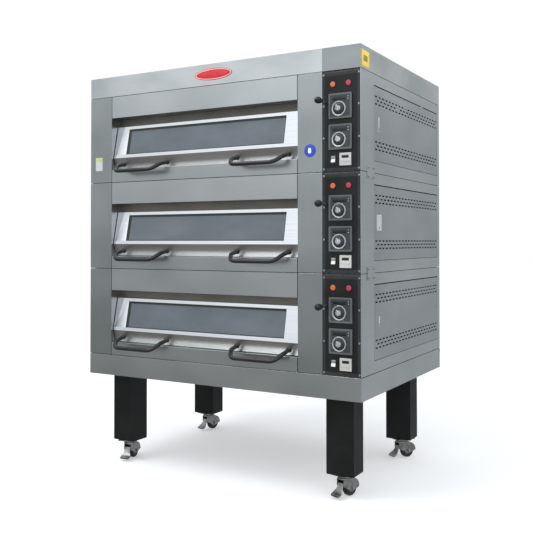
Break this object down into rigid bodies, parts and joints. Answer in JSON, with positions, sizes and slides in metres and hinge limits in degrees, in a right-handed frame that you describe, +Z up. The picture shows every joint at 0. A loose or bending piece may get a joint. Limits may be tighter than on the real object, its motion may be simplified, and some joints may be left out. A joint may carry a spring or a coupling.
{
  "type": "deck oven",
  "caption": "Castored electric deck oven with stacked baking chambers, glazed flip-up doors, heat controllers, steam dampers and vented side covers.",
  "frame": {"origin": "on the floor under the middle of the oven's bounding box", "axes": "+Z up, -Y towards the front doors, +X to the right seen from the front"},
  "size_m": [1.3412, 1.13, 1.737],
  "materials": {
    "stainless": "brushed stainless sheet, horizontal grain",
    "black_enamel": "satin black powder coat",
    "zinc_steel": "zinc-plated pressed steel",
    "chassis_steel": "dark galvanised chassis sheet",
    "chamber_steel": "heat-tinted aluminised steel",
    "heat_seal": "woven glass heat seal",
    "hearth_stone": "fired refractory slab",
    "heater_sheath": "oxidised alloy heater sheath",
    "mineral_wool": "mineral wool",
    "panel_black": "near-black satin panel",
    "controller_grey": "grey moulded bezel",
    "timer_white": "warm white moulded bezel",
    "lens_orange": "translucent orange lens",
    "lens_red": "translucent red lens",
    "switch_black": "black switch frame",
    "screw_steel": "bright pan-head screws",
    "gland_black": "black nylon gland",
    "door_steel": "bright polished stainless",
    "door_glass": "tinted heat glass",
    "handle_black": "black coated steel bar",
    "damper_black": "black phenolic knob on a dark rod",
    "dial_black": "black dial with a pale finger bar",
    "rocker_white": "white rocker",
    "tyre_black": "black tread on a moulded wheel"
  },
  "bodies": {
    "oven": {"base_plinth": "stainless", "legs": "black_enamel", "caster_plates": "zinc_steel", "hood": "stainless", "deck_frames": "chassis_steel", "front_pillars": "stainless", "front_fascias": "stainless", "front_sills": "stainless", "side_frames": "stainless", "side_covers": "stainless", "rear_panels": "stainless", "chamber_shells": "chamber_steel", "mouth_gaskets": "heat_seal", "hearth_stones": "hearth_stone", "heating_elements": "heater_sheath", "insulation": "mineral_wool", "door_hinge_pins": "zinc_steel", "control_panels": "panel_black", "controllers": "controller_grey", "timers": "timer_white", "pilot_lamps_orange": "lens_orange", "pilot_lamps_red": "lens_red", "rocker_frames": "switch_black", "fasteners": "screw_steel", "deck_link_plates": "stainless", "steam_outlets": "stainless", "cable_gland": "gland_black"},
    "door_lower": {"door_frame_lower": "door_steel", "door_glass_lower": "door_glass", "door_handles_lower": "handle_black"},
    "damper_lower": {"damper_pull_lower": "damper_black"},
    "dial_lower_topheat_body": {"dial_lower_topheat": "dial_black"},
    "dial_lower_bottomheat_body": {"dial_lower_bottomheat": "dial_black"},
    "rocker_body_lower": {"rocker_lower": "rocker_white"},
    "door_middle": {"door_frame_middle": "door_steel", "door_glass_middle": "door_glass", "door_handles_middle": "handle_black"},
    "damper_middle": {"damper_pull_middle": "damper_black"},
    "dial_middle_topheat_body": {"dial_middle_topheat": "dial_black"},
    "dial_middle_bottomheat_body": {"dial_middle_bottomheat": "dial_black"},
    "rocker_body_middle": {"rocker_middle": "rocker_white"},
    "door_upper": {"door_frame_upper": "door_steel", "door_glass_upper": "door_glass", "door_handles_upper": "handle_black"},
    "damper_upper": {"damper_pull_upper": "damper_black"},
    "dial_upper_topheat_body": {"dial_upper_topheat": "dial_black"},
    "dial_upper_bottomheat_body": {"dial_upper_bottomheat": "dial_black"},
    "rocker_body_upper": {"rocker_upper": "rocker_white"},
    "fork_front_left": {"caster_fork_front_left": "zinc_steel"},
    "wheel_front_left": {"caster_wheel_front_left": "tyre_black"},
    "brake_front_left": {"caster_brake_front_left": "zinc_steel"},
    "fork_front_right": {"caster_fork_front_right": "zinc_steel"},
    "wheel_front_right": {"caster_wheel_front_right": "tyre_black"},
    "brake_front_right": {"caster_brake_front_right": "zinc_steel"},
    "fork_rear_left": {"caster_fork_rear_left": "zinc_steel"},
    "wheel_rear_left": {"caster_wheel_rear_left": "tyre_black"},
    "brake_rear_left": {"caster_brake_rear_left": "zinc_steel"},
    "fork_rear_right": {"caster_fork_rear_right": "zinc_steel"},
    "wheel_rear_right": {"caster_wheel_rear_right": "tyre_black"},
    "brake_rear_right": {"caster_brake_rear_right": "zinc_steel"}
  },
  "joints": [
    {"name": "door_hinge_lower", "type": "hinge", "parent": "oven", "child": "door_lower", "pos_m": [-0.071, -0.415, 0.7375], "axis": [-1, 0, 0], "range_deg": [0, 90]},
    {"name": "damper_slide_lower", "type": "slide", "parent": "oven", "child": "damper_lower", "axis": [0, 1, 0], "range_m": [0, 0.045]},
    {"name": "dial_lower_topheat_turn", "type": "hinge", "parent": "oven", "child": "dial_lower_topheat_body", "pos_m": [0.577, -0.485, 0.73], "axis": [0, -1, 0], "range_deg": [-300, 0]},
    {"name": "dial_lower_bottomheat_turn", "type": "hinge", "parent": "oven", "child": "dial_lower_bottomheat_body", "pos_m": [0.577, -0.485, 0.613], "axis": [0, -1, 0], "range_deg": [-300, 0]},
    {"name": "rocker_tip_lower", "type": "hinge", "parent": "oven", "child": "rocker_body_lower", "pos_m": [0.553, -0.472, 0.538], "axis": [1, 0, 0], "range_deg": [0, 16]},
    {"name": "door_hinge_middle", "type": "hinge", "parent": "oven", "child": "door_middle", "pos_m": [-0.071, -0.415, 1.1225], "axis": [-1, 0, 0], "range_deg": [0, 90]},
    {"name": "damper_slide_middle", "type": "slide", "parent": "oven", "child": "damper_middle", "axis": [0, 1, 0], "range_m": [0, 0.045]},
    {"name": "dial_middle_topheat_turn", "type": "hinge", "parent": "oven", "child": "dial_middle_topheat_body", "pos_m": [0.577, -0.485, 1.115], "axis": [0, -1, 0], "range_deg": [-300, 0]},
    {"name": "dial_middle_bottomheat_turn", "type": "hinge", "parent": "oven", "child": "dial_middle_bottomheat_body", "pos_m": [0.577, -0.485, 0.998], "axis": [0, -1, 0], "range_deg": [-300, 0]},
    {"name": "rocker_tip_middle", "type": "hinge", "parent": "oven", "child": "rocker_body_middle", "pos_m": [0.553, -0.472, 0.923], "axis": [1, 0, 0], "range_deg": [0, 16]},
    {"name": "door_hinge_upper", "type": "hinge", "parent": "oven", "child": "door_upper", "pos_m": [-0.071, -0.415, 1.5075], "axis": [-1, 0, 0], "range_deg": [0, 90]},
    {"name": "damper_slide_upper", "type": "slide", "parent": "oven", "child": "damper_upper", "axis": [0, 1, 0], "range_m": [0, 0.045]},
    {"name": "dial_upper_topheat_turn", "type": "hinge", "parent": "oven", "child": "dial_upper_topheat_body", "pos_m": [0.577, -0.485, 1.5], "axis": [0, -1, 0], "range_deg": [-300, 0]},
    {"name": "dial_upper_bottomheat_turn", "type": "hinge", "parent": "oven", "child": "dial_upper_bottomheat_body", "pos_m": [0.577, -0.485, 1.383], "axis": [0, -1, 0], "range_deg": [-300, 0]},
    {"name": "rocker_tip_upper", "type": "hinge", "parent": "oven", "child": "rocker_body_upper", "pos_m": [0.553, -0.472, 1.308], "axis": [1, 0, 0], "range_deg": [0, 16]},
    {"name": "caster_swivel_front_left", "type": "hinge", "parent": "oven", "child": "fork_front_left", "pos_m": [-0.5385, -0.343, 0.079], "axis": [0, 0, 1], "continuous": true},
    {"name": "wheel_spin_front_left", "type": "hinge", "parent": "fork_front_left", "child": "wheel_front_left", "pos_m": [-0.54432, -0.31561, 0.0325], "axis": [-0.9781, -0.2079, 0], "continuous": true},
    {"name": "brake_pedal_front_left", "type": "hinge", "parent": "fork_front_left", "child": "brake_front_left", "pos_m": [-0.53413, -0.36354, 0.053], "axis": [-0.9781, -0.2079, 0], "range_deg": [0, 18]},
    {"name": "caster_swivel_front_right", "type": "hinge", "parent": "oven", "child": "fork_front_right", "pos_m": [0.5385, -0.343, 0.079], "axis": [0, 0, 1], "continuous": true},
    {"name": "wheel_spin_front_right", "type": "hinge", "parent": "fork_front_right", "child": "wheel_front_right", "pos_m": [0.54669, -0.31622, 0.0325], "axis": [-0.9563, 0.2924, 0], "continuous": true},
    {"name": "brake_pedal_front_right", "type": "hinge", "parent": "fork_front_right", "child": "brake_front_right", "pos_m": [0.53236, -0.36308, 0.053], "axis": [-0.9563, 0.2924, 0], "range_deg": [0, 18]},
    {"name": "caster_swivel_rear_left", "type": "hinge", "parent": "oven", "child": "fork_rear_left", "pos_m": [-0.5385, 0.297, 0.079], "axis": [0, 0, 1], "continuous": true},
    {"name": "wheel_spin_rear_left", "type": "hinge", "parent": "fork_rear_left", "child": "wheel_rear_left", "pos_m": [-0.5322, 0.32428, 0.0325], "axis": [-0.9744, 0.225, 0], "continuous": true},
    {"name": "brake_pedal_rear_left", "type": "hinge", "parent": "fork_rear_left", "child": "brake_rear_left", "pos_m": [-0.54322, 0.27654, 0.053], "axis": [-0.9744, 0.225, 0], "range_deg": [0, 18]},
    {"name": "caster_swivel_rear_right", "type": "hinge", "parent": "oven", "child": "fork_rear_right", "pos_m": [0.5385, 0.297, 0.079], "axis": [0, 0, 1], "continuous": true},
    {"name": "wheel_spin_rear_right", "type": "hinge", "parent": "fork_rear_right", "child": "wheel_rear_right", "pos_m": [0.55375, 0.32048, 0.0325], "axis": [-0.8387, 0.5446, 0], "continuous": true},
    {"name": "brake_pedal_rear_right", "type": "hinge", "parent": "fork_rear_right", "child": "brake_rear_right", "pos_m": [0.52706, 0.27939, 0.053], "axis": [-0.8387, 0.5446, 0], "range_deg": [0, 18]}
  ]
}
